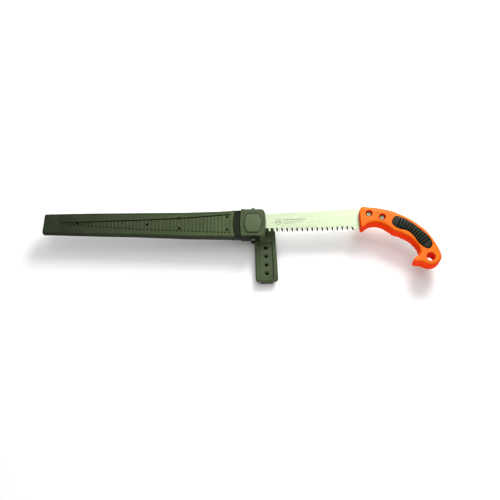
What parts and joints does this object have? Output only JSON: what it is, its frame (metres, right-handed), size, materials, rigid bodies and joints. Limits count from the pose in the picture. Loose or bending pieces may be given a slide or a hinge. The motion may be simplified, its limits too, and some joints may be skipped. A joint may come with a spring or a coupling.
{
  "type": "pruning saw with scabbard",
  "caption": "Fixed-blade pruning saw with a curved pistol grip, half drawn from a hard belt scabbard with a roller throat and a swivelling hanger.",
  "frame": {"origin": "middle of the saw's bounding box, on the surface that it lies on", "axes": "+X along the scabbard from its tip towards the handle, +Y towards the blade's back, +Z out of the scabbard's ribbed front"},
  "size_m": [0.6546, 0.121, 0.0505],
  "materials": {
    "scabbard_plastic": "satin",
    "cap_plastic": "satin",
    "hanger_plastic": "satin",
    "dark_plastic": "matte",
    "handle_plastic": "satin",
    "grip_rubber": "matte",
    "roller_rubber": "matte",
    "blade_steel": "brushed",
    "bolt_steel": "polished"
  },
  "bodies": {
    "root": {"scabbard_front_shell": "scabbard_plastic", "scabbard_back_shell": "scabbard_plastic", "shell_screws": "bolt_steel", "waist_band": "dark_plastic", "throat_cap_front": "cap_plastic", "throat_cap_back": "cap_plastic", "cap_screws": "bolt_steel", "roller_cover": "cap_plastic", "roller_axle_front": "bolt_steel", "roller_axle_back": "bolt_steel", "axle_caps": "dark_plastic", "hanger_pivot_bolt": "bolt_steel", "hanger_pivot_washer": "bolt_steel", "hanger_pivot_nut": "bolt_steel"},
    "saw": {"saw_blade": "blade_steel", "handle_front_shell": "handle_plastic", "handle_back_shell": "handle_plastic", "grip_inlay_front": "grip_rubber", "grip_inlay_back": "grip_rubber", "blade_bolts": "bolt_steel", "blade_nuts": "bolt_steel", "handle_screw": "bolt_steel"},
    "front_roller": {"roller_front_core": "bolt_steel", "roller_front_rubber": "roller_rubber"},
    "back_roller": {"roller_back_core": "bolt_steel", "roller_back_rubber": "roller_rubber"},
    "hanger": {"belt_hanger": "hanger_plastic", "belt_strap": "dark_plastic", "strap_screws": "bolt_steel"}
  },
  "joints": [
    {"name": "saw_draw", "type": "slide", "parent": "root", "child": "saw", "axis": [0.9991, 0.0419, 0], "range_m": [-0.147, 0.19]},
    {"name": "front_roller_spin", "type": "hinge", "parent": "root", "child": "front_roller", "pos_m": [0.02008, 0.03028, 0.0419], "axis": [0, 1, 0], "range_deg": [-1650.42, 1277.13]},
    {"name": "back_roller_spin", "type": "hinge", "parent": "root", "child": "back_roller", "pos_m": [0.02008, 0.03028, 0.0271], "axis": [0, 1, 0], "range_deg": [-1277.13, 1650.42]},
    {"name": "hanger_swivel", "type": "hinge", "parent": "root", "child": "hanger", "pos_m": [0.03938, 0.03318, 0.012], "axis": [0, 0, 1], "range_deg": [-95, 90]}
  ],
  "couplings": [
    {"joint": "front_roller_spin", "follows": "saw_draw", "rad_per_m": -151.51},
    {"joint": "back_roller_spin", "follows": "saw_draw", "rad_per_m": 151.51}
  ]
}
